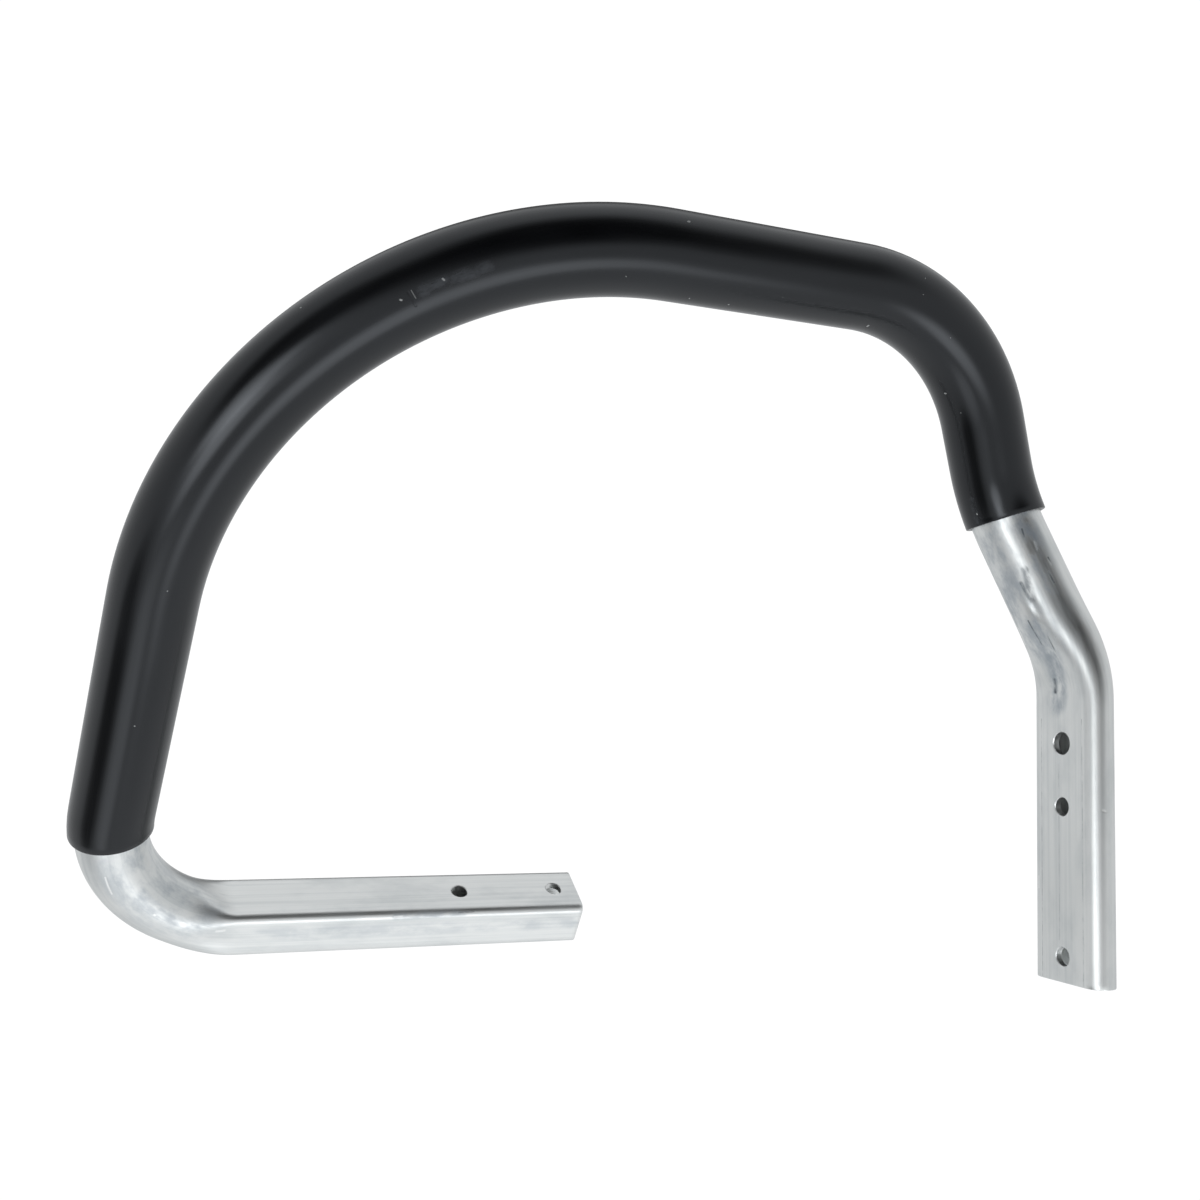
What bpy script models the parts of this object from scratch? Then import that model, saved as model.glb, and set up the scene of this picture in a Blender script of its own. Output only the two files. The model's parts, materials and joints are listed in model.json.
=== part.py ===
"""Sleeved tube handlebar: one bent aluminium tube and the plastic grip sleeve around it.

Frame: metres, +Z up. The origin lies on the hole face of the lower leg, midway between that leg's
two bolt holes. +X runs along the lower leg to its free end. The hoop leans forward, towards -Y, and
the side leg comes straight down from it.
"""

import math

import bmesh
import bpy
from mathutils import Matrix, Vector

MM = 0.001
DEG = math.pi / 180.0

# Tube stock
TUBE_OD = 25.0 * MM
TUBE_WALL = 2.5 * MM

# Pressed legs: the round tube is pressed flat-sided where it is bolted. Each has the depth
# through its hole face, the width of that face and the corner radius.
LOWER_PRESS = (19.5 * MM, 23.5 * MM, 3.0 * MM)
SIDE_PRESS = (12.2 * MM, 32.6 * MM, 5.7 * MM)
LOWER_PRESS_END = 138.0 * MM
LOWER_PRESS_FADE = 24.0 * MM
SIDE_PRESS_START = 736.0 * MM
SIDE_PRESS_FADE = 44.0 * MM

# Bends, in order from the free end of the lower leg
HOOP_LEAN = 34.0 * DEG
LOWER_LEG = 137.5 * MM
LOWER_BEND = (47.5 * MM, 94.0 * DEG, 0.0)
RISER = 86.0 * MM
SHOULDER_BEND = (147.0 * MM, 85.5 * DEG, 0.0)
TOP_BAR = 70.5 * MM
CORNER_BEND = (67.0 * MM, 66.0 * DEG, -18.0 * DEG)
CORNER_STRAIGHT = 17.0 * MM
KICK_BEND = (55.0 * MM, 28.5 * DEG, -86.0 * DEG)
KICK_STRAIGHT = 40.5 * MM
SIDE_BEND_RADIUS = 54.5 * MM
SIDE_LEG = 100.5 * MM
SIDE_HOLE_FACE = (-1.0, 0.0, 0.0)

# Bolt holes, measured from the free end of each leg
LOWER_HOLES = ((10.0 * MM, 6.5 * MM), (50.5 * MM, 6.5 * MM))
SIDE_HOLES = ((9.0 * MM, 6.5 * MM), (61.5 * MM, 6.5 * MM), (84.0 * MM, 8.0 * MM))
DRILL_LENGTH = 40.0 * MM
DRILL_SEGMENTS = 24
DRILL_MARGIN = 2.5 * MM

# Grip sleeve
SLEEVE_OD = 29.0 * MM
SLEEVE_GAP = 0.32 * MM
SLEEVE_START = 207.5 * MM
SLEEVE_END = 706.5 * MM
SLEEVE_START_SLANT = 4.0 * DEG
SLEEVE_END_SLANT = -6.0 * DEG

# Facets
CORNER_STEPS = 4
BEND_STEP = 8.0 * DEG
FADE_STEPS = 6

ALUMINIUM = ((0.62, 0.64, 0.65, 1.0), 1.0, 0.36)
BLACK_PLASTIC = ((0.022, 0.023, 0.025, 1.0), 0.0, 0.38)


class Centreline:
    """The run of the tube, laid out stretch by stretch as a tube bender would."""

    def __init__(self, start, direction, toward):
        self.place = (start, direction, toward, toward)
        self.length = 0.0
        self.stretches = []
        self.stations = [0.0]

    def straight(self, length):
        """Run on straight ahead."""
        self.stretches.append((self.length, self.place, None, None))
        position, direction, toward, face = self.place
        self.place = (position + direction * length, direction, toward, face)
        self.length += length
        self.stations.append(self.length)

    def bend(self, radius, angle, roll):
        """Roll the bending plane about the tube, then bend by the angle."""
        position, direction, toward, face = self.place
        toward = Matrix.Rotation(roll, 3, direction) @ toward
        axis = direction.cross(toward).normalized()
        self.stretches.append((self.length, (position, direction, toward, face), axis, radius))
        count = math.ceil(angle / BEND_STEP - 1e-6)
        for step in range(count):
            self.stations.append(self.length + radius * angle * (step + 1) / count)
        self.length += radius * angle
        self.place = self.around(self.stretches[-1], radius * angle)

    def bend_to(self, radius, direction):
        """Bend in whatever plane brings the tube to the wanted direction."""
        ahead, toward = self.place[1], self.place[2]
        aside = (direction - ahead * direction.dot(ahead)).normalized()
        roll = math.atan2(ahead.cross(toward).dot(aside), toward.dot(aside))
        self.bend(radius, ahead.angle(direction), roll)

    @staticmethod
    def around(stretch, run):
        """The place a given run into one stretch."""
        (position, direction, toward, face), axis, radius = stretch[1:]
        if axis is None:
            return position + direction * run, direction, toward, face
        turn = Matrix.Rotation(run / radius, 3, axis)
        centre = position + toward * radius
        return centre - turn @ toward * radius, turn @ direction, turn @ toward, turn @ face

    def at(self, distance):
        """Position, direction and untwisted face normal at a distance from the start."""
        stretch = [item for item in self.stretches if item[0] <= distance + 1e-9][-1]
        position, direction, _, face = self.around(stretch, distance - stretch[0])
        return position, direction, face


def lay_out():
    """The centreline of the whole tube."""
    face = Vector((0.0, -math.sin(HOOP_LEAN), math.cos(HOOP_LEAN)))
    middle = (LOWER_HOLES[0][0] + LOWER_HOLES[1][0]) / 2.0
    start = Vector((middle, 0.0, 0.0)) - face * LOWER_PRESS[0] / 2.0
    line = Centreline(start, Vector((-1.0, 0.0, 0.0)), face)
    line.straight(LOWER_LEG)
    line.bend(*LOWER_BEND)
    line.straight(RISER)
    line.bend(*SHOULDER_BEND)
    line.straight(TOP_BAR)
    line.bend(*CORNER_BEND)
    line.straight(CORNER_STRAIGHT)
    line.bend(*KICK_BEND)
    line.straight(KICK_STRAIGHT)
    line.bend_to(SIDE_BEND_RADIUS, Vector((0.0, 0.0, -1.0)))
    line.straight(SIDE_LEG)
    return line


def ease(value):
    """A smooth step from 0 to 1."""
    value = min(max(value, 0.0), 1.0)
    return value * value * (3.0 - 2.0 * value)


def pressed(distance):
    """Which leg's press shapes the section, and how far: 1 on the legs, 0 under the sleeve."""
    if distance < SIDE_PRESS_START:
        return LOWER_PRESS, 1.0 - ease((distance - LOWER_PRESS_END) / LOWER_PRESS_FADE)
    return SIDE_PRESS, ease((distance - SIDE_PRESS_START) / SIDE_PRESS_FADE)


def section(radius, press=LOWER_PRESS, amount=0.0, wall=0.0):
    """Outline between a circle and the pressed leg, with one point at the middle of each flat.

    The pressed corner rounds off into the circle, so each flat narrows to a point as it fades.
    """
    depth, width, corner = [size / 2.0 for size in press[:2]] + [press[2]]
    depth, width, corner = [radius + (size - radius) * amount for size in (depth, width, corner)]
    points = []
    steps = CORNER_STEPS + 2
    first = (1.0 - amount) * math.pi / 2.0 / steps
    reach = corner - wall
    for quarter in range(4):
        across, along = (depth, width) if quarter % 2 == 0 else (width, depth)
        turn = Matrix.Rotation(quarter * math.pi / 2.0, 2)
        points.append(turn @ Vector((across - wall, 0.0)))
        for step in range(CORNER_STEPS + 1):
            sweep = first + (math.pi / 2.0 - 2.0 * first) * step / CORNER_STEPS
            middle = Vector((across - corner, along - corner))
            points.append(turn @ (middle + Vector((math.cos(sweep), math.sin(sweep))) * reach))
    return points


def twist_at(line, distance):
    """Twist of the section about the tube, all of it taken up where the tube is round."""
    _, direction, face = line.at(line.length)
    wanted = Vector(SIDE_HOLE_FACE)
    whole = math.atan2(direction.cross(face).dot(wanted), face.dot(wanted))
    first = LOWER_PRESS_END + LOWER_PRESS_FADE
    return whole * min(max((distance - first) / (SIDE_PRESS_START - first), 0.0), 1.0)


def frame_at(line, distance):
    """Position, direction, face normal and side normal of the section at a distance."""
    position, direction, face = line.at(distance)
    face = Matrix.Rotation(twist_at(line, distance), 3, direction) @ face
    return position, direction, face, direction.cross(face)


def ring(bm, line, distance, outline, slant=0.0):
    """Add one outline as a loop of vertices, its plane tipped by the slant."""
    position, direction, face, aside = frame_at(line, distance)
    tip = math.tan(slant)
    return [bm.verts.new(position + face * x + aside * y + direction * x * tip) for x, y in outline]


def pipe(name, line, stops, outlines, slants, material):
    """A closed pipe from outer and inner outlines at each stop along the centreline."""
    bm = bmesh.new()
    skins = []
    for outline_of in outlines:
        skins.append([ring(bm, line, stop, outline_of(stop), slants.get(stop, 0.0)) for stop in stops])
    outer, inner = skins
    loops = outer + inner[::-1]
    for before, after in zip(loops, loops[1:] + loops[:1]):
        for index, vertex in enumerate(before):
            following = (index + 1) % len(before)
            bm.faces.new((vertex, before[following], after[following], after[index]))
    bmesh.ops.recalc_face_normals(bm, faces=bm.faces)
    mesh = bpy.data.meshes.new(name)
    bm.to_mesh(mesh)
    bm.free()
    mesh.shade_smooth()
    mesh.set_sharp_from_angle(angle=30.0 * DEG)
    mesh.materials.append(material)
    item = bpy.data.objects.new(name, mesh)
    bpy.context.collection.objects.link(item)
    return item


def drill(item, line, distance, diameter):
    """Drill a bolt hole through both walls of a pressed leg."""
    position, direction, face, aside = frame_at(line, distance)
    bpy.ops.mesh.primitive_cylinder_add(
        vertices=DRILL_SEGMENTS, radius=diameter / 2.0, depth=DRILL_LENGTH
    )
    cutter = bpy.context.object
    cutter.name = "drill_%03d" % round(distance / MM)
    turn = Matrix((direction, aside, face)).transposed() @ Matrix.Rotation(math.pi / DRILL_SEGMENTS, 3, "Z")
    cutter.matrix_world = Matrix.Translation(position) @ turn.to_4x4()
    cutter.hide_render = True
    cutter.display_type = "WIRE"
    cut = item.modifiers.new(cutter.name, "BOOLEAN")
    cut.operation = "DIFFERENCE"
    cut.solver = "EXACT"
    cut.object = cutter


def finish(name, colour, metallic, roughness):
    """A plain Principled material."""
    material = bpy.data.materials.new(name)
    material.use_nodes = True
    shader = material.node_tree.nodes["Principled BSDF"]
    shader.inputs["Base Color"].default_value = colour
    shader.inputs["Metallic"].default_value = metallic
    shader.inputs["Roughness"].default_value = roughness
    return material


def handlebar_tube(line):
    """The bent tube, pressed and drilled at both legs."""
    fades = [(LOWER_PRESS_END, LOWER_PRESS_FADE), (SIDE_PRESS_START, SIDE_PRESS_FADE)]
    holes = list(LOWER_HOLES) + [(line.length - distance, diameter) for distance, diameter in SIDE_HOLES]
    extra = [SLEEVE_START, SLEEVE_END]
    for distance, diameter in holes:
        extra += [distance - diameter / 2.0 - DRILL_MARGIN, distance + diameter / 2.0 + DRILL_MARGIN]
    for first, run in fades:
        extra += [first + run * step / FADE_STEPS for step in range(FADE_STEPS + 1)]
    apart = 0.8 * MM
    stops = sorted(extra + [stop for stop in line.stations if min(abs(stop - x) for x in extra) > apart])

    def outer(distance):
        return section(TUBE_OD / 2.0, *pressed(distance))

    def inner(distance):
        return section(TUBE_OD / 2.0, *pressed(distance), wall=TUBE_WALL)

    tube = pipe("handlebar_tube", line, stops, (outer, inner), {}, finish("aluminium", *ALUMINIUM))
    for distance, diameter in holes:
        drill(tube, line, distance, diameter)
    return stops


def grip_sleeve(line, tube_stops):
    """The plastic sleeve, a slip fit on the round stretch of the tube."""
    stops = [stop for stop in tube_stops if SLEEVE_START <= stop <= SLEEVE_END]

    def outer(_):
        return section(SLEEVE_OD / 2.0)

    def inner(_):
        return section(TUBE_OD / 2.0 + SLEEVE_GAP)

    slants = {SLEEVE_START: SLEEVE_START_SLANT, SLEEVE_END: SLEEVE_END_SLANT}
    pipe("grip_sleeve", line, stops, (outer, inner), slants, finish("black_plastic", *BLACK_PLASTIC))


def main():
    """Clear the scene and build the two pieces."""
    for item in list(bpy.data.objects):
        bpy.data.objects.remove(item, do_unlink=True)
    line = lay_out()
    tube_stops = handlebar_tube(line)
    grip_sleeve(line, tube_stops)


main()
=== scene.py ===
"""Looks of the sleeved tube handlebar: a bent aluminium tube in a black grip sleeve.

Both pieces are made the way a shop makes them. Straight stock is rolled from flat sheet, its legs are
pressed and drilled, and the finished stock is bent along the centreline. Each vertex keeps its place
on the straight stock in an attribute, so die lines, scratches and smudges follow the bends.
"""

import json
import logging
import math
from bisect import bisect_right
from dataclasses import dataclass, field
from enum import Enum
from itertools import pairwise
from typing import Callable, ClassVar, NamedTuple

import bmesh
import bpy
from mathutils import Matrix, Vector


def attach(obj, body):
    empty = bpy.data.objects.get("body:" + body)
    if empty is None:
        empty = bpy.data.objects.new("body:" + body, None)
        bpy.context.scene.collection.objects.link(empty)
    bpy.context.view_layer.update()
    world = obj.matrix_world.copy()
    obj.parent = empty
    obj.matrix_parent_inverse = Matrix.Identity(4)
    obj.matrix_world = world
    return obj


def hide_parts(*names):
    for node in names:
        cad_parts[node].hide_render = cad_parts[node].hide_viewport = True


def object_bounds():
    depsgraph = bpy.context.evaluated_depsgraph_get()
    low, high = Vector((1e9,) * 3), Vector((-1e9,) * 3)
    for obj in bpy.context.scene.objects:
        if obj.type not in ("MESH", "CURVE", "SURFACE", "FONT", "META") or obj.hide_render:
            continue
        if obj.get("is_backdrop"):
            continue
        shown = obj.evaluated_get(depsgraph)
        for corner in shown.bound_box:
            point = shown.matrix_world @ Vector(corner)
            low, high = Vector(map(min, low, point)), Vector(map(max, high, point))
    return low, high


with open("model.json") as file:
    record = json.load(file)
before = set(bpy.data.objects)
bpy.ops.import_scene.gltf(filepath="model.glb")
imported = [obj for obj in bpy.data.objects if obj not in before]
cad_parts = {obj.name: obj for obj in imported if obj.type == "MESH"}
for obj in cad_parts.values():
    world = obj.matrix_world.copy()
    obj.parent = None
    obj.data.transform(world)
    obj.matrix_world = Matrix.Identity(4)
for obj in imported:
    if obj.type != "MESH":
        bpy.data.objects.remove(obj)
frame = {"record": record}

MM = 0.001
DEG = math.pi / 180.0
QUARTER = math.pi / 2.0
TURN = 2.0 * math.pi
SEAM_GAP = 0.001 * MM
SMALLEST_RUN = 1e-12
STOCK = "stock"

Skin = Callable[[float, float], Vector]

log = logging.getLogger("handlebar")


def progress(value: float, start: float, end: float) -> float:
    """How far a value has come from start to end, held between 0 and 1.

    Args:
        value: the value.
        start: where the result is 0.
        end: where the result is 1, which may lie below start.

    Returns:
        The share of the way.
    """
    return min(max((value - start) / (end - start), 0.0), 1.0)


def stops_between(first: float, last: float, step: float) -> list[float]:
    """Evenly spaced distances from first up to, and not including, last.

    Args:
        first: the first distance.
        last: where the distances end.
        step: about how far apart they are.

    Returns:
        The distances.
    """
    count = max(1, round((last - first) / step))
    return [first + (last - first) * index / count for index in range(count)]


def to_mesh(bm: bmesh.types.BMesh, name: str) -> bpy.types.Mesh:
    """Turn a bmesh into a mesh and free it.

    Args:
        bm: the bmesh.
        name: the mesh's name.

    Returns:
        The mesh.
    """
    mesh = bpy.data.meshes.new(name)
    bm.to_mesh(mesh)
    bm.free()
    return mesh


def put_down(name: str, data: bpy.types.ID) -> bpy.types.Object:
    """Make an object and put it in the scene.

    Args:
        name: the object's name.
        data: its mesh, lamp or camera.

    Returns:
        The object.
    """
    item = bpy.data.objects.new(name, data)
    bpy.context.collection.objects.link(item)
    return item


class Place(NamedTuple):
    """A point on the centreline with its directions: ahead, and the two across the section."""

    position: Vector
    ahead: Vector
    toward: Vector
    face: Vector


class Stretch(NamedTuple):
    """One straight or bent stretch of the centreline."""

    start: float
    place: Place
    axis: Vector | None
    radius: float

    def at(self, run: float) -> Place:
        """The place a given run into the stretch.

        Args:
            run: distance from the start of the stretch.

        Returns:
            The place there.
        """
        position, ahead, toward, face = self.place
        if self.axis is None:
            return Place(position + ahead * run, ahead, toward, face)
        turn = Matrix.Rotation(run / self.radius, 3, self.axis)
        centre = position + toward * self.radius
        return Place(centre - turn @ toward * self.radius, turn @ ahead, turn @ toward, turn @ face)


class Bend(NamedTuple):
    """A bender's entry: the straight before the bend, its radius, angle and roll."""

    straight: float
    radius: float
    angle: float
    roll: float


class Hole(NamedTuple):
    """A cross hole: its distance from the leg's free end, and its bore."""

    distance: float
    bore: float


@dataclass(frozen=True)
class Press:
    """The form that a leg is pressed to, and the stretch over which it fades into round tube.

    A quarter of the section is a flat, a rounded corner and another flat, and flat_share is the share
    of the quarter's points that each flat takes.
    """

    depth: float
    width: float
    corner: float
    full_at: float
    round_at: float
    flat_share: float = 0.25

    def amount(self, distance: float) -> float:
        """How far the section is pressed.

        Args:
            distance: the distance along the stock.

        Returns:
            The amount there: 1 is full, 0 is round.
        """
        value = progress(distance, self.round_at, self.full_at)
        return value * value * (3.0 - 2.0 * value)

    def shape(self, theta: float, radius: float, inward: float, amount: float) -> tuple[float, float]:
        """Where a point of the round stock goes in the press.

        Args:
            theta: the point's angle round the stock, 0 at the middle of the hole face.
            radius: outer radius of the stock.
            inward: how deep under the outer skin the point lies.
            amount: how far the section is pressed.

        Returns:
            The point's place across and along the hole face.
        """
        sizes = (self.depth / 2.0, self.width / 2.0, self.corner)
        deep, wide, corner = (radius + (size - radius) * amount for size in sizes)
        quarter = math.floor(theta / QUARTER)
        part = theta / QUARTER - quarter
        across, along = (deep, wide) if quarter % 2 == 0 else (wide, deep)
        near = progress(part, 0.0, self.flat_share)
        middle = progress(part, self.flat_share, 1.0 - self.flat_share)
        far = progress(1.0 - part, 0.0, self.flat_share)
        edge = (1.0 - amount) * QUARTER * self.flat_share
        sweep = near * edge + middle * (QUARTER - 2.0 * edge) + (1.0 - far) * edge
        x = far * (across - corner) + math.cos(sweep) * (corner - inward)
        y = near * (along - corner) + math.sin(sweep) * (corner - inward)
        turn = quarter * QUARTER
        return x * math.cos(turn) - y * math.sin(turn), x * math.sin(turn) + y * math.cos(turn)


@dataclass(frozen=True)
class Dent:
    """A shallow press mark: a smooth hollow round a point of the skin, long along the tube.

    Its place is a distance along the stock and an arc round it from the middle of the hole face.
    """

    distance: float
    arc: float
    length: float
    width: float
    depth: float
    fall: float = 2.0

    def sink(self, distance: float, arc: float) -> float:
        """Depth of the hollow at a point.

        Args:
            distance: the point's distance along the stock.
            arc: the point's arc round the stock from the middle of the hole face.

        Returns:
            How far the skin is pushed in there.
        """
        away = ((distance - self.distance) / self.length) ** 2 + ((arc - self.arc) / self.width) ** 2
        return self.depth * math.exp(-away * self.fall)


@dataclass
class Centreline:
    """The run of the tube, laid out from the lower leg's free end."""

    lean: float = 34.0 * DEG
    bends: tuple[Bend, ...] = (
        Bend(137.5 * MM, 47.5 * MM, 94.0 * DEG, 0.0),
        Bend(86.0 * MM, 147.0 * MM, 85.5 * DEG, 0.0),
        Bend(70.5 * MM, 67.0 * MM, 66.0 * DEG, -18.0 * DEG),
        Bend(17.0 * MM, 55.0 * MM, 28.5 * DEG, -86.0 * DEG),
    )
    last_straight: float = 40.5 * MM
    last_radius: float = 54.5 * MM
    side_leg: float = 100.5 * MM
    side_face: tuple[float, float, float] = (-1.0, 0.0, 0.0)
    lower_depth: float = 19.5 * MM
    seat_middle: float = 30.25 * MM
    twist_from: float = 162.0 * MM
    twist_to: float = 736.0 * MM
    stretches: list[Stretch] = field(default_factory=list, init=False)
    length: float = field(default=0.0, init=False)
    twist: float = field(default=0.0, init=False)

    def __post_init__(self) -> None:
        """Lay the stretches end to end, starting at the seat that the record names."""
        seat = Vector(next(m["pos_m"] for m in frame["record"]["mounts"] if m["name"] == "lower_seat"))
        face = Vector((0.0, -math.sin(self.lean), math.cos(self.lean)))
        start = seat + Vector((self.seat_middle, 0.0, 0.0)) - face * self.lower_depth / 2.0
        place = Place(start, Vector((-1.0, 0.0, 0.0)), face, face)
        for bend in self.bends:
            place = self.straight(place, bend.straight)
            place = self.bend(place, bend.radius, bend.angle, bend.roll)
        place = self.straight(place, self.last_straight)
        down = Vector((0.0, 0.0, -1.0))
        aside = (down - place.ahead * down.dot(place.ahead)).normalized()
        roll = math.atan2(place.ahead.cross(place.toward).dot(aside), place.toward.dot(aside))
        place = self.bend(place, self.last_radius, place.ahead.angle(down), roll)
        place = self.straight(place, self.side_leg)
        wanted = Vector(self.side_face)
        self.twist = math.atan2(place.ahead.cross(place.face).dot(wanted), place.face.dot(wanted))

    def straight(self, place: Place, length: float) -> Place:
        """Run straight on.

        Args:
            place: where the stretch starts.
            length: how long it is.

        Returns:
            The place at its end.
        """
        self.stretches.append(Stretch(self.length, place, None, 0.0))
        self.length += length
        return self.stretches[-1].at(length)

    def bend(self, place: Place, radius: float, angle: float, roll: float) -> Place:
        """Roll the bending plane about the tube, and bend.

        Args:
            place: where the bend starts.
            radius: the bend's radius at the centreline.
            angle: how far it bends.
            roll: how far the plane is rolled first.

        Returns:
            The place at its end.
        """
        toward = Matrix.Rotation(roll, 3, place.ahead) @ place.toward
        axis = place.ahead.cross(toward).normalized()
        start = Place(place.position, place.ahead, toward, place.face)
        self.stretches.append(Stretch(self.length, start, axis, radius))
        self.length += radius * angle
        return self.stretches[-1].at(radius * angle)

    def bend_point(self, point: Vector) -> Vector:
        """Carry a point of the straight stock to its place on the bent tube.

        Args:
            point: x and y across the section, z along the stock.

        Returns:
            The point in the frame of the part.
        """
        index = bisect_right(self.stretches, point.z, key=lambda item: item.start) - 1
        stretch = self.stretches[max(index, 0)]
        position, ahead, _, face = stretch.at(point.z - stretch.start)
        twist = self.twist * progress(point.z, self.twist_from, self.twist_to)
        face = Matrix.Rotation(twist, 3, ahead) @ face
        return position + face * point.x + ahead.cross(face) * point.y


def roll_skin(bm: bmesh.types.BMesh, radius: float, segments: int, stops: list[float]) -> None:
    """Roll a flat sheet into one open skin of straight stock along Z, and close its seam.

    Args:
        bm: the mesh to add to.
        radius: radius of the skin.
        segments: faces round it.
        stops: where its rings stand.
    """
    rows = len(stops) - 1
    sheet = bmesh.ops.create_grid(bm, x_segments=segments, y_segments=rows, size=1.0)["verts"]
    for vertex in sheet:
        theta = (vertex.co.x + 1.0) * math.pi
        stop = stops[round((vertex.co.y + 1.0) / 2.0 * rows)]
        vertex.co = (radius * math.cos(theta), radius * math.sin(theta), stop)
    bmesh.ops.remove_doubles(bm, verts=sheet, dist=SEAM_GAP)


def draw_stock(
    outer: float, inner: float, segments: int, stops: list[float], lip: float
) -> bmesh.types.BMesh:
    """Draw a straight open-ended tube with rounded lips.

    Args:
        outer: outer radius.
        inner: inner radius.
        segments: faces round it.
        stops: where its rings stand along Z.
        lip: radius of the rounding at each end.

    Returns:
        The tube as a bmesh.
    """
    bm = bmesh.new()
    roll_skin(bm, outer, segments, stops)
    outside = set(bm.faces)
    roll_skin(bm, inner, segments, stops)
    bmesh.ops.reverse_faces(bm, faces=[face for face in bm.faces if face not in outside])
    open_edges = [edge for edge in bm.edges if edge.is_boundary]
    middle = (stops[0] + stops[-1]) / 2.0
    for side in (True, False):
        rim = [edge for edge in open_edges if (edge.verts[0].co.z < middle) is side]
        bmesh.ops.bridge_loops(bm, edges=rim)
    bmesh.ops.bevel(
        bm, geom=open_edges, offset=lip, offset_type="OFFSET", segments=2,
        profile=0.5, affect="EDGES", material=-1, clamp_overlap=True,
    )
    bmesh.ops.recalc_face_normals(bm, faces=bm.faces)
    return bm


def finish_object(name: str, mesh: bpy.types.Mesh, line: Centreline, sharp: float) -> bpy.types.Object:
    """Keep each vertex's place on the stock, bend the mesh along the centreline and shade it.

    Args:
        name: the piece's name.
        mesh: the straight stock.
        line: the centreline to bend it along.
        sharp: angle past which an edge stays crisp.

    Returns:
        The piece.
    """
    kept = mesh.attributes.new(STOCK, "FLOAT_VECTOR", "POINT")
    for index, vertex in enumerate(mesh.vertices):
        kept.data[index].vector = vertex.co
        vertex.co = line.bend_point(vertex.co)
    mesh.shade_smooth()
    mesh.set_sharp_from_angle(angle=sharp)
    mesh.name = name
    return put_down(name, mesh)


class Value:
    """A shader socket that takes part in Python arithmetic."""

    def __init__(self, graph: "Graph", socket: bpy.types.NodeSocket) -> None:
        """Wrap one output socket of a graph."""
        self.graph = graph
        self.socket = socket

    def math(
        self, operation: str, other: "Value | float", first: "Value | float | None" = None
    ) -> "Value":
        """Add one Math node.

        Args:
            operation: what the node does.
            other: its second input.
            first: its first input, which is this value where none is given.

        Returns:
            The node's result.
        """
        sockets = {0: self if first is None else first, 1: other}
        return self.graph.out(self.graph.node("ShaderNodeMath", {"operation": operation}, sockets))

    def __add__(self, other: "Value | float") -> "Value":
        """Sum."""
        return self.math("ADD", other)

    __radd__ = __add__

    def __sub__(self, other: "Value | float") -> "Value":
        """Difference."""
        return self.math("SUBTRACT", other)

    def __rsub__(self, other: float) -> "Value":
        """Difference from a number."""
        return self.math("SUBTRACT", self, first=other)

    def __mul__(self, other: "Value | float") -> "Value":
        """Product."""
        return self.math("MULTIPLY", other)

    __rmul__ = __mul__

    def most(self, other: "Value | float") -> "Value":
        """The larger of two values."""
        return self.math("MAXIMUM", other)

    def least(self, other: "Value | float") -> "Value":
        """The smaller of two values."""
        return self.math("MINIMUM", other)

    def step(self, low: float, high: float) -> "Value":
        """Step smoothly from 0 to 1.

        Args:
            low: where the result is 0.
            high: where the result is 1, which may lie below low.

        Returns:
            The stepped value.
        """
        settings = {"interpolation_type": "SMOOTHSTEP"}
        sockets = {"Value": self, "From Min": low, "From Max": high}
        return self.graph.out(self.graph.node("ShaderNodeMapRange", settings, sockets))


class Pattern(NamedTuple):
    """A noise over the stock: how it is drawn out along it, its scale, detail and roughness.

    Band is the pair of values between which the noise is stepped from 0 to 1, where it is.
    """

    drawn: float
    scale: float
    detail: float
    rough: float
    band: tuple[float, float] = (0.0, 1.0)


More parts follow.
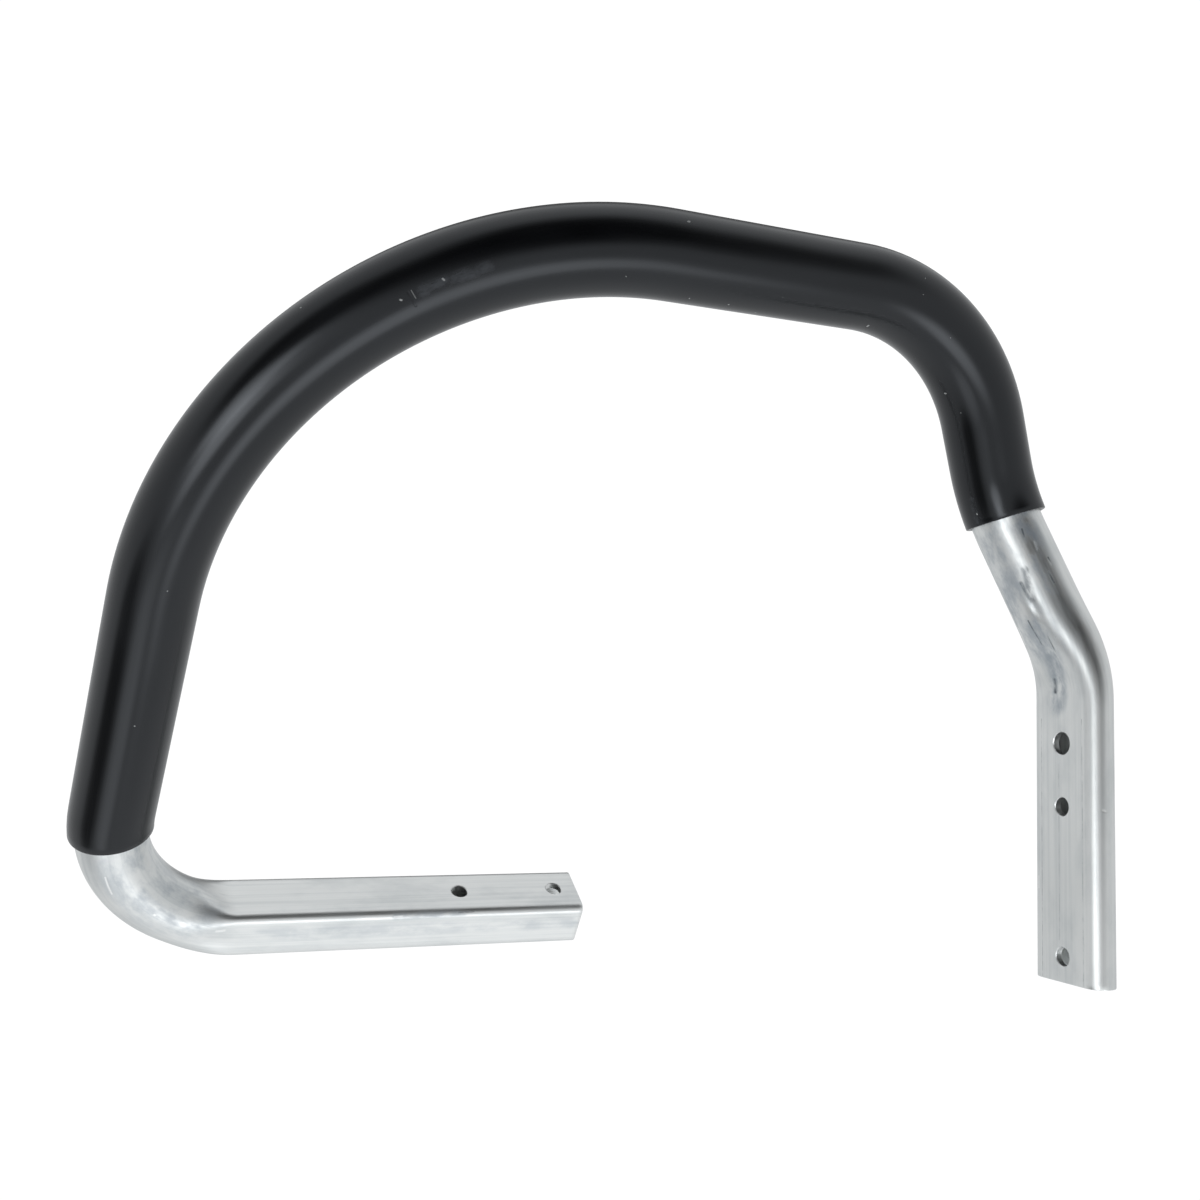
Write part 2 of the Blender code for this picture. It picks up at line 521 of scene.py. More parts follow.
class Graph:
    """The nodes of one material or world."""

    MIX_INPUTS: ClassVar[tuple[int, int, int]] = (0, 6, 7)
    MIX_RESULT: ClassVar[int] = 2

    def __init__(self, tree: bpy.types.NodeTree) -> None:
        """Start with an empty tree."""
        self.tree = tree
        tree.nodes.clear()

    def node(self, kind: str, settings: dict | None = None, sockets: dict | None = None) -> bpy.types.Node:
        """Add a node.

        Args:
            kind: the node's type.
            settings: its properties, which are set first.
            sockets: values or links of its input sockets, by name or index.

        Returns:
            The node.
        """
        node = self.tree.nodes.new(kind)
        for name, value in (settings or {}).items():
            setattr(node, name, value)
        for name, value in (sockets or {}).items():
            if isinstance(value, Value):
                self.tree.links.new(value.socket, node.inputs[name])
            else:
                node.inputs[name].default_value = value
        return node

    def out(self, node: bpy.types.Node, socket: str | int = 0) -> Value:
        """One output of a node as a value."""
        return Value(self, node.outputs[socket])

    def vector(
        self, operation: str, *inputs: "Value | tuple", result: str = "Vector", **sockets: "Value | float"
    ) -> Value:
        """Add one Vector Math node.

        Args:
            operation: what the node does.
            inputs: its first inputs, in order.
            result: the name of the output that is wanted.
            sockets: its other inputs, by name.

        Returns:
            The node's result.
        """
        values = {**dict(enumerate(inputs)), **sockets}
        return self.out(self.node("ShaderNodeVectorMath", {"operation": operation}, values), result)

    def stock(self) -> Value:
        """The place on the straight stock."""
        return self.out(self.node("ShaderNodeAttribute", {"attribute_name": STOCK}), "Vector")

    def noise(self, pattern: Pattern) -> Value:
        """Spread a noise over the stock.

        Args:
            pattern: the noise's numbers.

        Returns:
            The noise, from 0 to 1 round 0.5.
        """
        place = self.stock()
        if pattern.drawn != 1.0:
            place = self.vector("MULTIPLY", place, (1.0, 1.0, pattern.drawn))
        sockets = {
            "Vector": place, "Scale": pattern.scale, "Detail": pattern.detail, "Roughness": pattern.rough,
        }
        return self.out(self.node("ShaderNodeTexNoise", {"noise_dimensions": "3D"}, sockets))

    def patches(self, pattern: Pattern) -> Value:
        """A noise stepped over its band."""
        return self.noise(pattern).step(*pattern.band)

    def blend(self, amount: Value, first: "Value | tuple", second: "Value | tuple") -> Value:
        """Blend two colours.

        Args:
            amount: 0 for the first colour, 1 for the second.
            first: the first colour.
            second: the second colour.

        Returns:
            The colour between them.
        """
        ends = [colour if isinstance(colour, Value) else (*colour, 1.0) for colour in (first, second)]
        settings = {"data_type": "RGBA", "clamp_factor": True}
        sockets = dict(zip(self.MIX_INPUTS, (amount, *ends)))
        return self.out(self.node("ShaderNodeMix", settings, sockets), self.MIX_RESULT)

    def bump(self, height: Value, strength: float, reach: float) -> Value:
        """Raise and sink the surface in its shading.

        Args:
            height: the height, in shares of the reach.
            strength: how much of it shows.
            reach: the height that 1 stands for.

        Returns:
            The normal.
        """
        sockets = {"Strength": strength, "Distance": reach, "Height": height}
        return self.out(self.node("ShaderNodeBump", {}, sockets))

    def seen(self, shown: bpy.types.Node, behind: bpy.types.Node) -> Value:
        """Show the camera one shader, and every other ray another.

        Args:
            shown: the shader for camera rays.
            behind: the shader for the rest.

        Returns:
            The two mixed.
        """
        camera_ray = self.out(self.node("ShaderNodeLightPath"), "Is Camera Ray")
        sockets = {0: camera_ray, 1: self.out(behind), 2: self.out(shown)}
        return self.out(self.node("ShaderNodeMixShader", {}, sockets))


class Tone(Enum):
    """What a mark does to the metal or plastic under it, or the light it paints: bright marks are painted
    highlights on nicks and dents, and dark marks on the metal are stains and painted shade in creases and
    dents.
    """

    # painted highlight: a bright colour where light catches a nick, dent or edge
    PAINTED_HIGHLIGHT = "bright"
    DARK = "dark"
    DULL = "dull"


@dataclass(frozen=True)
class Mark:
    """A scratch, nick, smudge, painted highlight or painted shade: a soft-edged streak between two points
    of the skin.

    Each end is a distance along the stock and an angle in degrees round it. Core is the share of the
    width that has the full strength.
    """

    tone: Tone
    start: tuple[float, float]
    end: tuple[float, float]
    width: float
    strength: float = 1.0
    core: float = 0.25

    def mask(self, graph: Graph, place: Value, skin: Skin) -> Value:
        """Where the mark shows.

        Args:
            graph: the material's nodes.
            place: the place on the stock.
            skin: gives the skin point at a distance and an angle.

        Returns:
            A value that is the mark's strength on it and 0 off it.
        """
        first, last = skin(*self.start), skin(*self.end)
        run = last - first
        per_run = tuple(run / max(run.length_squared, SMALLEST_RUN))
        offset = graph.vector("SUBTRACT", place, tuple(first))
        along = graph.vector("DOT_PRODUCT", offset, per_run, result="Value").most(0.0).least(1.0)
        nearest = graph.vector("SCALE", tuple(run), Scale=along)
        away = graph.vector("LENGTH", graph.vector("SUBTRACT", offset, nearest), result="Value")
        return away.step(self.width, self.width * self.core) * self.strength


@dataclass(frozen=True)
class Finish:
    """What the finishes share: marks of handling and painted light, and one principled shader."""

    name: ClassVar[str] = "finish"
    marks: tuple[Mark, ...] = ()

    def surface(self, graph: Graph, tones: dict[Tone, Value]) -> dict[str, "Value | tuple | float"]:
        """The shader's sockets, which each finish gives for itself."""
        raise NotImplementedError

    def material(self, skin: Skin) -> bpy.types.Material:
        """Build the material.

        Args:
            skin: gives the skin point of the stock at a distance and an angle.

        Returns:
            The finished material.
        """
        material = bpy.data.materials.new(self.name)
        material.use_nodes = True
        graph = Graph(material.node_tree)
        place = graph.stock()
        tones: dict[Tone, Value] = {}
        for mark in self.marks:
            mask = mark.mask(graph, place, skin)
            tones[mark.tone] = tones[mark.tone].most(mask) if mark.tone in tones else mask
        shader = graph.node("ShaderNodeBsdfPrincipled", {}, self.surface(graph, tones))
        graph.node("ShaderNodeOutputMaterial", {}, {"Surface": graph.out(shader)})
        return material


@dataclass(frozen=True)
class AluminiumFinish(Finish):
    """Mill-finish drawn aluminium: fine die lines, a thin cloudy bloom, smudges and small knocks, with
    painted highlights on the knocks and dents and painted shade in the creases and dents.
    """

    name: ClassVar[str] = "mill_aluminium"
    colour: tuple[float, float, float] = (0.82, 0.83, 0.82)
    bloom: tuple[float, float, float] = (0.56, 0.59, 0.60)
    # painted shade: the dark colour of real stains and of the shade in creases and dents
    stain_and_crease_shade: tuple[float, float, float] = (0.16, 0.18, 0.20)
    dull: tuple[float, float, float] = (0.42, 0.46, 0.50)
    # painted highlight: the near-white colour of the bright marks on knocks and dents
    glint: tuple[float, float, float] = (0.97, 0.97, 0.96)
    die_lines: Pattern = Pattern(0.012, 1500.0, 2.0, 0.6)
    wide_lines: Pattern = Pattern(0.012, 520.0, 3.0, 0.6, (0.40, 0.72))
    clouds: Pattern = Pattern(0.45, 75.0, 4.0, 0.6, (0.42, 0.70))
    grain: Pattern = Pattern(1.0, 2600.0, 2.0, 0.6)
    stain_and_shade_gaps: Pattern = Pattern(0.3, 520.0, 3.0, 0.65, (0.34, 0.62))
    smudge_gaps: Pattern = Pattern(0.5, 160.0, 4.0, 0.62, (0.36, 0.66))
    cloud_bloom: float = 0.35
    line_bloom: float = 0.36
    glint_share: float = 0.85
    roughness: float = 0.35
    line_rough: float = 0.20
    bloom_rough: float = 0.12
    smudge_rough: float = 0.22
    dark_mark_rough: float = 0.18
    line_height: float = 0.55
    wide_height: float = 0.9
    grain_height: float = 0.12
    dark_mark_depth: float = 0.8
    glint_depth: float = 1.2
    relief: float = 0.5
    relief_reach: float = 0.06 * MM

    def surface(self, graph: Graph, tones: dict[Tone, Value]) -> dict[str, "Value | tuple | float"]:
        """The metal's colour, gloss and relief.

        Args:
            graph: the material's nodes.
            tones: where the marks of each tone show.

        Returns:
            The shader's sockets.
        """
        stains_and_crease_shade, glints = tones[Tone.DARK], tones[Tone.PAINTED_HIGHLIGHT]
        lines, wide_lines = graph.noise(self.die_lines), graph.noise(self.wide_lines)
        smudges = tones[Tone.DULL] * graph.patches(self.smudge_gaps)
        bloom = graph.patches(self.clouds) * self.cloud_bloom
        bloom += wide_lines.step(*self.wide_lines.band) * self.line_bloom
        colour = graph.blend(bloom, self.colour, self.bloom)
        colour = graph.blend(smudges, colour, self.dull)
        # painted shade in the creases and dents, with real stains
        colour = graph.blend(stains_and_crease_shade * graph.patches(self.stain_and_shade_gaps), colour, self.stain_and_crease_shade)
        # painted highlights on the knocks and dents
        colour = graph.blend(glints * self.glint_share, colour, self.glint)
        rough = self.roughness + (lines - 0.5) * self.line_rough + bloom * self.bloom_rough
        rough += smudges * self.smudge_rough + stains_and_crease_shade * self.dark_mark_rough
        height = lines * self.line_height + wide_lines * self.wide_height
        height += graph.noise(self.grain) * self.grain_height
        height -= stains_and_crease_shade * self.dark_mark_depth + glints * self.glint_depth
        normal = graph.bump(height, self.relief, self.relief_reach)
        return {"Base Color": colour, "Metallic": 1.0, "Roughness": rough, "Normal": normal}


@dataclass(frozen=True)
class SleeveFinish(Finish):
    """Extruded black plastic: a satin skin with faint draw lines, scuffs, a few specks and painted
    highlights on its nicks.
    """

    name: ClassVar[str] = "black_grip_plastic"
    colour: tuple[float, float, float] = (0.0010, 0.0011, 0.0014)
    worn: tuple[float, float, float] = (0.030, 0.032, 0.036)
    # the colour of real light specks, and of the painted highlights on the nicks
    speck_and_highlight: tuple[float, float, float] = (0.55, 0.56, 0.55)
    sheen: tuple[float, float, float, float] = (0.90, 0.94, 1.0, 1.0)
    draw_lines: Pattern = Pattern(0.02, 900.0, 3.0, 0.6)
    grain: Pattern = Pattern(1.0, 3200.0, 2.0, 0.5)
    waves: Pattern = Pattern(0.25, 60.0, 2.0, 0.5)
    haze: Pattern = Pattern(0.3, 38.0, 3.0, 0.55, (0.42, 0.75))
    specks: Pattern = Pattern(1.0, 430.0, 0.0, 0.5, (0.870, 0.89))
    scuff_gaps: Pattern = Pattern(0.35, 420.0, 4.0, 0.7, (0.35, 0.68))
    speck_share: float = 0.5
    haze_share: float = 0.12
    roughness: float = 0.21
    line_rough: float = 0.10
    haze_rough: float = 0.05
    scuff_rough: float = 0.16
    groove_gloss: float = 0.08
    line_height: float = 0.6
    grain_height: float = 0.10
    wave_height: float = 3.0
    groove_depth: float = 3.0
    scuff_depth: float = 0.5
    relief: float = 0.30
    relief_reach: float = 0.05 * MM

    def surface(self, graph: Graph, tones: dict[Tone, Value]) -> dict[str, "Value | tuple | float"]:
        """The plastic's colour, gloss and relief.

        Args:
            graph: the material's nodes.
            tones: where the marks of each tone show.

        Returns:
            The shader's sockets.
        """
        grooves = tones[Tone.DARK]
        lines = graph.noise(self.draw_lines)
        haze = graph.patches(self.haze)
        specks = graph.patches(self.specks) * self.speck_share
        scuffs = tones[Tone.DULL] * graph.patches(self.scuff_gaps)
        colour = graph.blend(haze * self.haze_share + scuffs, self.colour, self.worn)
        # real light specks, and painted highlights on the nicks
        colour = graph.blend(specks.most(tones[Tone.PAINTED_HIGHLIGHT]), colour, self.speck_and_highlight)
        rough = self.roughness + (lines - 0.5) * self.line_rough + haze * self.haze_rough
        rough += scuffs * self.scuff_rough - grooves * self.groove_gloss
        height = lines * self.line_height + graph.noise(self.grain) * self.grain_height
        height += graph.noise(self.waves) * self.wave_height
        height -= grooves * self.groove_depth + scuffs * self.scuff_depth
        normal = graph.bump(height, self.relief, self.relief_reach)
        return {"Base Color": colour, "Roughness": rough, "Normal": normal, "Specular Tint": self.sheen}


@dataclass
class HandlebarTube:
    """The bent aluminium tube with its pressed and drilled legs.

    Covered is the stretch whose inner part the sleeve hides. Step is the shallow hollow across the
    side leg's hole face, where the press ends.
    """

    line: Centreline
    radius: float = 12.5 * MM
    wall: float = 2.5 * MM
    segments: int = 96
    lip: float = 0.35 * MM
    fine: float = 1.8 * MM
    coarse: float = 7.0 * MM
    crisp: float = 32.0 * DEG
    covered: tuple[float, float] = (214.0 * MM, 696.0 * MM)
    lower: Press = Press(19.5 * MM, 23.5 * MM, 3.0 * MM, 138.0 * MM, 162.0 * MM)
    side: Press = Press(12.2 * MM, 32.6 * MM, 5.7 * MM, 780.0 * MM, 736.0 * MM)
    lower_holes: tuple[Hole, ...] = (Hole(10.0 * MM, 6.5 * MM), Hole(50.5 * MM, 6.5 * MM))
    side_holes: tuple[Hole, ...] = (
        Hole(9.0 * MM, 6.5 * MM), Hole(61.5 * MM, 6.5 * MM), Hole(84.0 * MM, 8.0 * MM),
    )
    deburr: float = 0.3 * MM
    drill_segments: int = 48
    dents: tuple[Dent, ...] = (
        Dent(740.0 * MM, -6.3 * MM, 6.0 * MM, 1.6 * MM, 0.75 * MM),
        Dent(749.0 * MM, -4.2 * MM, 8.0 * MM, 2.6 * MM, 0.55 * MM),
        Dent(760.0 * MM, -1.6 * MM, 9.0 * MM, 3.0 * MM, 0.65 * MM),
        Dent(770.0 * MM, 0.6 * MM, 6.0 * MM, 2.4 * MM, 0.65 * MM),
        Dent(141.0 * MM, 0.0, 7.0 * MM, 7.0 * MM, 0.30 * MM),
        Dent(146.0 * MM, 21.0 * MM, 9.0 * MM, 4.0 * MM, 0.30 * MM),
        Dent(146.0 * MM, -21.0 * MM, 9.0 * MM, 4.0 * MM, 0.30 * MM),
    )
    step_depth: float = 0.22 * MM
    step_run: float = 1.6 * MM
    step_reach: float = 10.5 * MM
    # Bright marks are painted highlights on nicks, dents and a crease edge. Dark marks are stains and
    # painted shade along the creases and dents of the side leg.
    marks: tuple[Mark, ...] = (
        Mark(Tone.DARK, (784.0 * MM, 21.5), (876.0 * MM, 21.5), 0.22 * MM, 0.5),
        Mark(Tone.DARK, (784.0 * MM, 338.5), (876.0 * MM, 338.5), 0.22 * MM, 0.5),
        Mark(Tone.PAINTED_HIGHLIGHT, (788.0 * MM, 335.5), (876.0 * MM, 335.5), 0.18 * MM, 0.4),
        Mark(Tone.DARK, (800.0 * MM, 3.0), (862.0 * MM, 3.0), 0.22 * MM, 0.35),
        Mark(Tone.DULL, (706.0 * MM, 4.0), (752.0 * MM, 0.0), 15.0 * MM, 0.75),
        Mark(Tone.DULL, (706.0 * MM, -80.0), (736.0 * MM, -50.0), 7.5 * MM, 1.0),
        Mark(Tone.DULL, (740.0 * MM, -24.0), (778.0 * MM, 4.0), 6.5 * MM, 0.9),
        Mark(Tone.DULL, (158.0 * MM, -50.0), (212.0 * MM, -70.0), 17.0 * MM, 0.6),
        Mark(Tone.DULL, (4.0 * MM, -85.0), (130.0 * MM, -85.0), 5.0 * MM, 0.35),
        Mark(Tone.DULL, (51.0 * MM, -47.0), (78.0 * MM, -58.0), 2.6 * MM, 0.6),
        Mark(Tone.DARK, (727.0 * MM, -42.0), (737.5 * MM, -31.0), 2.2 * MM, 0.65),
        Mark(Tone.DARK, (731.0 * MM, -26.0), (738.0 * MM, -29.0), 1.4 * MM, 0.7),
        Mark(Tone.DARK, (748.0 * MM, -22.0), (760.0 * MM, -12.0), 0.6 * MM, 0.8),
        Mark(Tone.DARK, (744.0 * MM, -6.0), (754.0 * MM, -2.0), 0.5 * MM, 0.8),
        Mark(Tone.DARK, (731.0 * MM, -75.0), (735.0 * MM, -75.0), 0.6 * MM, 1.0),
        Mark(Tone.DARK, (726.0 * MM, -86.0), (729.0 * MM, -86.0), 0.5 * MM, 0.9),
        Mark(Tone.DARK, (719.0 * MM, -76.0), (722.0 * MM, -75.0), 0.6 * MM, 1.0),
        Mark(Tone.DARK, (713.0 * MM, -66.0), (716.0 * MM, -64.0), 0.5 * MM, 0.9),
        Mark(Tone.DARK, (753.0 * MM, -30.0), (754.0 * MM, -25.0), 0.5 * MM, 0.9),
        Mark(Tone.DARK, (769.0 * MM, 5.0), (774.0 * MM, 6.0), 1.2 * MM, 1.0),
        Mark(Tone.DARK, (47.0 * MM, -46.0), (53.0 * MM, -48.0), 0.6 * MM, 0.6),
        Mark(Tone.PAINTED_HIGHLIGHT, (745.0 * MM, 27.0), (751.0 * MM, 31.0), 0.6 * MM, 1.0),
        Mark(Tone.PAINTED_HIGHLIGHT, (815.5 * MM, -58.0), (815.8 * MM, -63.0), 0.6 * MM, 0.9),
        Mark(Tone.PAINTED_HIGHLIGHT, (841.0 * MM, 30.0), (845.0 * MM, 30.0), 0.5 * MM, 0.9),
        Mark(Tone.PAINTED_HIGHLIGHT, (196.5 * MM, -105.0), (189.0 * MM, -108.0), 0.5 * MM, 1.0),
        Mark(Tone.PAINTED_HIGHLIGHT, (172.0 * MM, -81.0), (172.4 * MM, -81.0), 0.6 * MM, 0.9),
        Mark(Tone.PAINTED_HIGHLIGHT, (143.0 * MM, -75.0), (146.0 * MM, -76.0), 0.8 * MM, 0.6),
        Mark(Tone.PAINTED_HIGHLIGHT, (76.0 * MM, -56.0), (79.0 * MM, -57.0), 0.5 * MM, 0.7),
    )

    def press_at(self, distance: float) -> Press:
        """The press of the leg that a distance along the stock belongs to."""
        return self.lower if distance < self.covered[0] else self.side

    def skin(self, distance: float, angle: float) -> Vector:
        """A point of the outer skin.

        Args:
            distance: its distance along the stock.
            angle: its angle round the stock in degrees.

        Returns:
            The point on the pressed stock.
        """
        press = self.press_at(distance)
        x, y = press.shape(angle % 360.0 * DEG, self.radius, 0.0, press.amount(distance))
        return Vector((x, y, distance))

    def step(self, distance: float, x: float, y: float) -> float:
        """Depth of the hollow where the side leg's press ends.

        Args:
            distance: a point's distance along the stock.
            x: its place across the hole face.
            y: its place along the hole face.

        Returns:
            How far the skin is pushed in there.
        """
        if abs(y) >= self.step_reach or x <= 0.0 or distance <= self.covered[1]:
            return 0.0
        start = progress(distance, self.side.full_at + self.step_run, self.side.full_at)
        fade = progress(distance, self.side.round_at, self.side.full_at)
        return self.step_depth * start * fade * (1.0 - (y / self.step_reach) ** 4)

    def form(self, point: Vector) -> Vector:
        """Press a point of the round stock to the leg's form.

        Args:
            point: the point on the drawn stock.

        Returns:
            The pressed point.
        """
        press = self.press_at(point.z)
        amount = press.amount(point.z)
        if amount == 0.0:
            return point
        theta = math.atan2(point.y, point.x)
        inward = self.radius - math.hypot(point.x, point.y)
        x, y = press.shape(theta % TURN, self.radius, inward, amount)
        sink = sum(dent.sink(point.z, theta * self.radius) for dent in self.dents)
        sink += self.step(point.z, x, y)
        return Vector((x, y, point.z)) - Vector((x, y, 0.0)) * (sink / math.hypot(x, y))

    def stops(self) -> list[float]:
        """Where the rings stand: close together in sight, far apart under the sleeve."""
        shown_low = stops_between(0.0, self.covered[0], self.fine)
        hidden = stops_between(*self.covered, self.coarse)
        shown_high = stops_between(self.covered[1], self.line.length, self.fine)
        return shown_low + hidden + shown_high + [self.line.length]

    def turn_drill(self, bm: bmesh.types.BMesh, distance: float, bore: float, skin: float) -> None:
        """Add one drill that runs through the stock and flares where it leaves the outer skin.

        Args:
            bm: the mesh to add to.
            distance: the drill's distance along the stock.
            bore: its diameter.
            skin: how far the outer skin lies from the middle of the stock.
        """
        half = bore / 2.0
        flare = ((half, skin - self.deburr), (half + self.deburr, skin), (bore, skin + half))
        levels = [(radius, -height) for radius, height in flare[::-1]] + list(flare)
        verts = bmesh.ops.create_circle(
            bm, cap_ends=False, segments=self.drill_segments, radius=levels[0][0]
        )["verts"]
        ring = list({edge for vertex in verts for edge in vertex.link_edges})
        bmesh.ops.translate(bm, verts=verts, vec=(0.0, 0.0, levels[0][1]))
        made, first_ring = list(verts), ring
        for (radius, height), (next_radius, next_height) in pairwise(levels):
            grown = bmesh.ops.extrude_edge_only(bm, edges=ring)["geom"]
            verts = [item for item in grown if isinstance(item, bmesh.types.BMVert)]
            edges = [item for item in grown if isinstance(item, bmesh.types.BMEdge)]
            ring = [edge for edge in edges if set(verts).issuperset(edge.verts)]
            ratio = next_radius / radius
            bmesh.ops.translate(bm, verts=verts, vec=(0.0, 0.0, next_height - height))
            bmesh.ops.scale(bm, verts=verts, vec=(ratio, ratio, 1.0))
            made += verts
        for edges in (first_ring, ring):
            bmesh.ops.contextual_create(bm, geom=edges)
        across = Matrix.Rotation(QUARTER, 3, "Y")
        half_face = Matrix.Rotation(math.pi / self.drill_segments, 3, "Z")
        bmesh.ops.transform(bm, matrix=(across @ half_face).to_4x4(), verts=made)
        bmesh.ops.translate(bm, verts=made, vec=(0.0, 0.0, distance))

    def drills(self) -> bpy.types.Object:
        """One cutter with a drill for each hole."""
        bm = bmesh.new()
        for hole in self.lower_holes:
            self.turn_drill(bm, hole.distance, hole.bore, self.lower.depth / 2.0)
        for hole in self.side_holes:
            self.turn_drill(bm, self.line.length - hole.distance, hole.bore, self.side.depth / 2.0)
        bmesh.ops.recalc_face_normals(bm, faces=bm.faces)
        return put_down("drills", to_mesh(bm, "drills"))

    def build(self) -> bpy.types.Object:
        """Draw, press, drill and bend the tube."""
        bm = draw_stock(self.radius, self.radius - self.wall, self.segments, self.stops(), self.lip)
        for vertex in bm.verts:
            vertex.co = self.form(vertex.co)
        blank = put_down("blank", to_mesh(bm, "blank"))
        cutter = self.drills()
        cut = blank.modifiers.new("drill", "BOOLEAN")
        cut.operation = "DIFFERENCE"
        cut.solver = "MANIFOLD"
        cut.object = cutter
        graph = bpy.context.evaluated_depsgraph_get()
        drilled = bpy.data.meshes.new_from_object(blank.evaluated_get(graph))
        for item in (blank, cutter):
            bpy.data.objects.remove(item, do_unlink=True)
        return finish_object("aluminium_tube", drilled, self.line, self.crisp)

    def dress(self, piece: bpy.types.Object) -> None:
        """Give the tube its metal, with the knocks and smudges of handling, painted highlights on the
        knocks and painted shade in the creases.
        """
        piece.data.materials.clear()
        piece.data.materials.append(AluminiumFinish(self.marks).material(self.skin))


@dataclass
class GripSleeve:
    """The black plastic sleeve, cut a little off square at both ends."""

    line: Centreline
    outer: float = 14.5 * MM
    inner: float = 12.82 * MM
    start: float = 207.5 * MM
    end: float = 706.5 * MM
    start_slant: float = 4.0 * DEG
    end_slant: float = -6.0 * DEG
    slant_reach: float = 12.0 * MM
    segments: int = 120
    step: float = 2.8 * MM
    lip: float = 0.4 * MM
    crisp: float = 50.0 * DEG
    # Bright marks are painted highlights on the nicks.
    marks: tuple[Mark, ...] = (
        Mark(Tone.DARK, (434.0 * MM, -100.0), (434.3 * MM, -82.0), 0.5 * MM, 1.0),
        Mark(Tone.DULL, (438.0 * MM, -94.0), (458.0 * MM, -93.0), 2.6 * MM, 1.0),
        Mark(Tone.DULL, (694.0 * MM, -9.0), (703.0 * MM, -6.0), 1.8 * MM, 1.0),
        Mark(Tone.PAINTED_HIGHLIGHT, (431.0 * MM, -96.0), (431.3 * MM, -95.0), 0.4 * MM, 0.6),
        Mark(Tone.PAINTED_HIGHLIGHT, (435.0 * MM, -100.0), (435.2 * MM, -90.0), 0.25 * MM, 0.25),
        Mark(Tone.PAINTED_HIGHLIGHT, (444.5 * MM, -98.0), (444.8 * MM, -96.0), 0.4 * MM, 0.5),
        Mark(Tone.PAINTED_HIGHLIGHT, (700.0 * MM, -12.0), (700.3 * MM, -12.0), 0.4 * MM, 0.6),
    )

    def skin(self, distance: float, angle: float) -> Vector:
        """A point of the outer skin.

        Args:
            distance: its distance along the stock.
            angle: its angle round the stock in degrees.

        Returns:
            The point on the straight sleeve.
        """
        turn = angle * DEG
        return Vector((self.outer * math.cos(turn), self.outer * math.sin(turn), distance))

    def slanted(self, point: Vector) -> Vector:
        """Tip the ends of the sleeve off square, fading out along it.

        Args:
            point: a point of the square-cut sleeve.

        Returns:
            The moved point.
        """
        first = max(1.0 - (point.z - self.start) / self.slant_reach, 0.0)
        last = max(1.0 - (self.end - point.z) / self.slant_reach, 0.0)
        shift = point.x * (math.tan(self.start_slant) * first + math.tan(self.end_slant) * last)
        return point + Vector((0.0, 0.0, shift))

    def build(self) -> bpy.types.Object:
        """Draw the sleeve, cut its ends and bend it."""
        stops = stops_between(self.start, self.end, self.step) + [self.end]
        bm = draw_stock(self.outer, self.inner, self.segments, stops, self.lip)
        for vertex in bm.verts:
            vertex.co = self.slanted(vertex.co)
        return finish_object("black_sleeve", to_mesh(bm, "sleeve"), self.line, self.crisp)

    def dress(self, piece: bpy.types.Object) -> None:
        """Give the sleeve its satin plastic, with the scuffs of handling and painted highlights on its
        nicks.
        """
        piece.data.materials.clear()
        piece.data.materials.append(SleeveFinish(self.marks).material(self.skin))


class Lobe(NamedTuple):
    """A soft patch of the surroundings: where it lies in the camera's axes, the angles at which it is
    full and gone, and its change of light.
    """

    direction: tuple[float, float, float]
    inner: float
    outer: float
    change: float


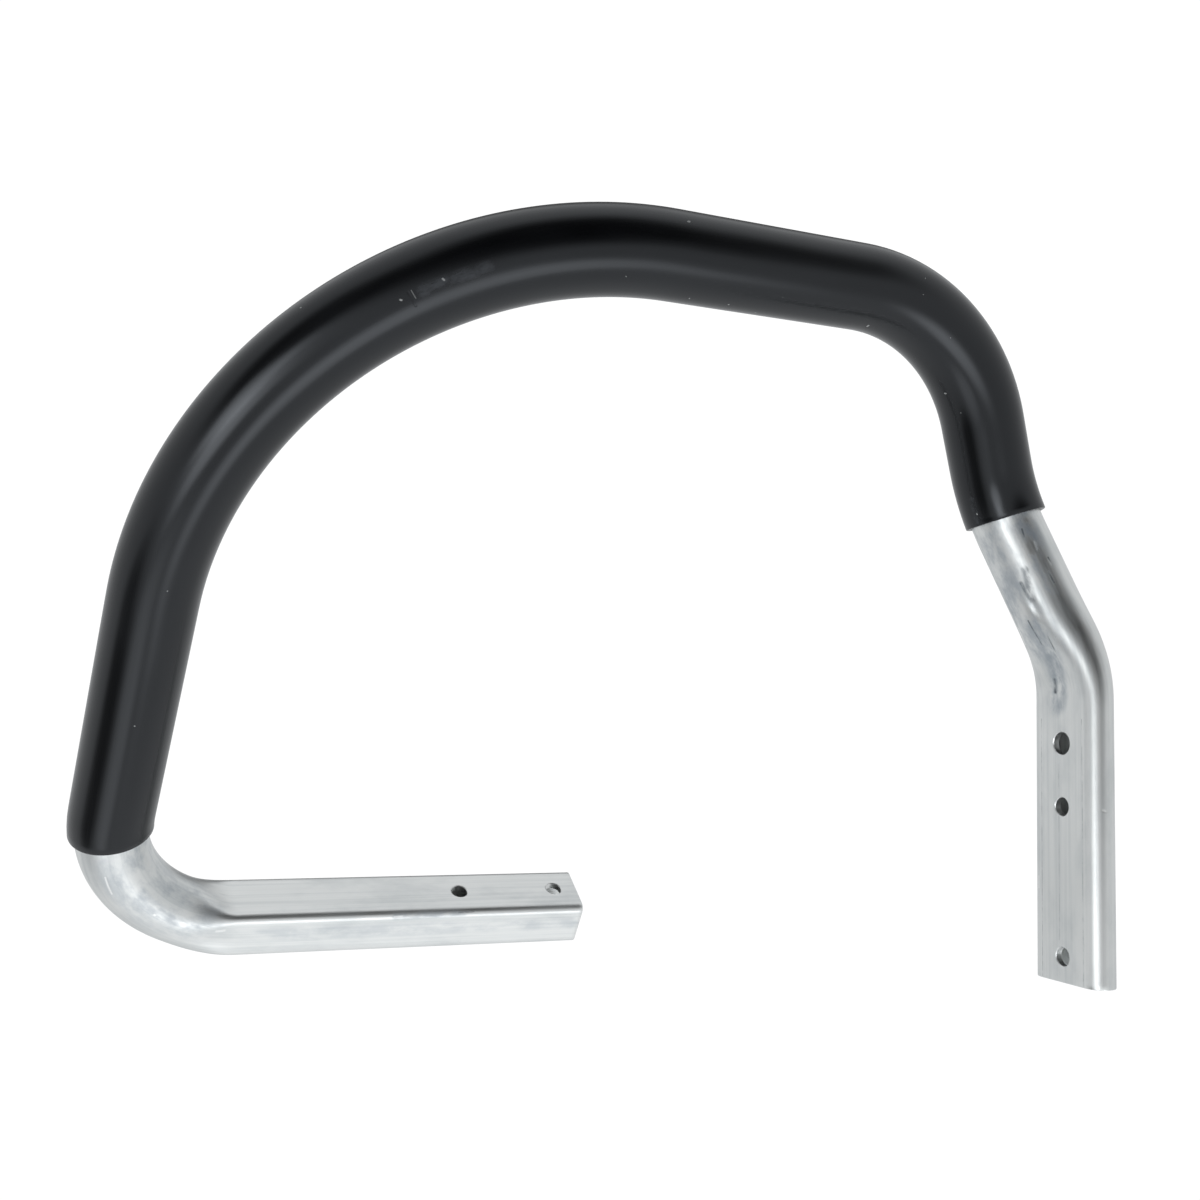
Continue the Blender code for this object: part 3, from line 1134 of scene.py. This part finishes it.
@dataclass
class Studio:
    """Plain soft light, a pale floor and the camera."""

    place: tuple[float, float, float] = (-0.18284, -0.52070, 0.06963)
    look: tuple[float, float, float] = (0.3887, 0.9169, 0.0904)
    upward: tuple[float, float, float] = (-0.0587, -0.0732, 0.9956)
    lens: float = 39.887
    sensor: float = 36.0
    clip_start: float = 0.01
    floor_drop: float = 0.30
    floor_size: float = 12.0
    white: tuple[float, float, float, float] = (1.0, 1.0, 1.0, 1.0)
    white_level: float = 1.05
    daylight: tuple[float, float, float, float] = (0.965, 0.985, 1.0, 1.0)
    surround: float = 0.70
    lobes: tuple[Lobe, ...] = (
        Lobe((0.00, 0.90, -0.42), 20.0 * DEG, 55.0 * DEG, 0.20),
        Lobe((0.20, -0.97, 0.00), 15.0 * DEG, 50.0 * DEG, 0.25),
        Lobe((0.36, 0.60, 0.72), 20.0 * DEG, 46.0 * DEG, -1.0),
        Lobe((-0.45, 0.42, 0.79), 14.0 * DEG, 32.0 * DEG, -0.92),
        Lobe((-0.74, -0.55, 0.38), 9.0 * DEG, 22.0 * DEG, -0.85),
        Lobe((0.00, 0.48, -0.88), 15.0 * DEG, 26.0 * DEG, -0.78),
        Lobe((-0.20, -0.82, 0.53), 6.0 * DEG, 17.0 * DEG, 1.0),
        Lobe((0.42, -0.70, 0.57), 6.0 * DEG, 18.0 * DEG, 2.4),
        Lobe((-0.27, -0.37, 0.89), 5.0 * DEG, 14.0 * DEG, 3.8),
        Lobe((-0.42, -0.05, 0.90), 6.0 * DEG, 16.0 * DEG, 2.4),
    )
    lamp_offset: tuple[float, float, float] = (-1.1, -0.9, -0.1)
    lamp_size: float = 0.5
    lamp_watts: float = 1.2
    lamp_tint: tuple[float, float, float] = (0.97, 0.99, 1.0)

    def axes(self) -> Matrix:
        """The camera's right, up and back directions as the columns of a matrix."""
        back = -Vector(self.look).normalized()
        right = Vector(self.upward).cross(back).normalized()
        return Matrix((right, back.cross(right), back)).transposed()

    def camera(self) -> None:
        """Set up the camera."""
        data = bpy.data.cameras.new("camera")
        data.lens = self.lens
        data.sensor_width = self.sensor
        data.clip_start = self.clip_start
        camera = put_down("camera", data)
        camera.matrix_world = Matrix.Translation(self.place) @ self.axes().to_4x4()
        bpy.context.scene.camera = camera

    def surroundings(self) -> None:
        """Light the pieces from a white surround with soft darker and brighter patches."""
        world = bpy.data.worlds.new("surround")
        world.use_nodes = True
        bpy.context.scene.world = world
        graph = Graph(world.node_tree)
        way = graph.out(graph.node("ShaderNodeTexCoord"), "Generated")
        light = self.surround
        for lobe in self.lobes:
            toward = self.axes() @ Vector(lobe.direction).normalized()
            near = graph.vector("DOT_PRODUCT", way, tuple(toward), result="Value")
            patch = near.step(math.cos(lobe.outer), math.cos(lobe.inner)) * lobe.change + 1.0
            light = light * patch
        glow = graph.node("ShaderNodeBackground", {}, {"Color": self.daylight, "Strength": light})
        white = {"Color": self.white, "Strength": self.white_level}
        backdrop = graph.node("ShaderNodeBackground", {}, white)
        graph.node("ShaderNodeOutputWorld", {}, {"Surface": graph.seen(backdrop, glow)})

    def lamp(self) -> None:
        """Hang one soft square lamp, aimed at the middle of the object."""
        low, high = (Vector(corner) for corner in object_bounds())
        offset = Vector(self.lamp_offset)
        data = bpy.data.lights.new("key", "AREA")
        data.size = self.lamp_size
        data.energy = self.lamp_watts
        data.color = self.lamp_tint
        lamp = put_down("key", data)
        aim = offset.to_track_quat("Z", "Y").to_matrix().to_4x4()
        lamp.matrix_world = Matrix.Translation((low + high) / 2.0 + offset) @ aim
        lamp.visible_camera = False

    def floor(self) -> None:
        """Lay a pale floor below the object, which only the camera sees."""
        bm = bmesh.new()
        bmesh.ops.create_grid(bm, x_segments=1, y_segments=1, size=self.floor_size)
        bmesh.ops.translate(bm, verts=bm.verts, vec=(0.0, 0.0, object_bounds()[0][2] - self.floor_drop))
        floor = put_down("floor", to_mesh(bm, "floor"))
        material = bpy.data.materials.new("pale_floor")
        material.use_nodes = True
        graph = Graph(material.node_tree)
        white = {"Color": self.white, "Strength": self.white_level}
        pale = graph.node("ShaderNodeEmission", {}, white)
        clear = graph.node("ShaderNodeBsdfTransparent")
        graph.node("ShaderNodeOutputMaterial", {}, {"Surface": graph.seen(pale, clear)})
        floor.data.materials.append(material)
        floor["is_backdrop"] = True

    def build(self) -> None:
        """Set up the whole studio."""
        self.camera()
        self.surroundings()
        self.floor()
        self.lamp()
        bpy.context.scene.view_settings.view_transform = "Standard"


def main() -> None:
    """Build the studio and both pieces."""
    logging.basicConfig(level=logging.INFO, format="%(name)s: %(message)s")
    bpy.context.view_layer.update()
    line = Centreline()
    Studio().build()
    parts = (
        (HandlebarTube(line), "handlebar_tube", "aluminium"),
        (GripSleeve(line), "grip_sleeve", "black_plastic"),
    )
    for part, node, slot in parts:
        piece = part.build()
        part.dress(piece)
        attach(piece, "root")
        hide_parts(node)
        log.info("%s: %d faces, stands for %s", piece.name, len(piece.data.polygons), node)


if __name__ == "__main__":
    main()
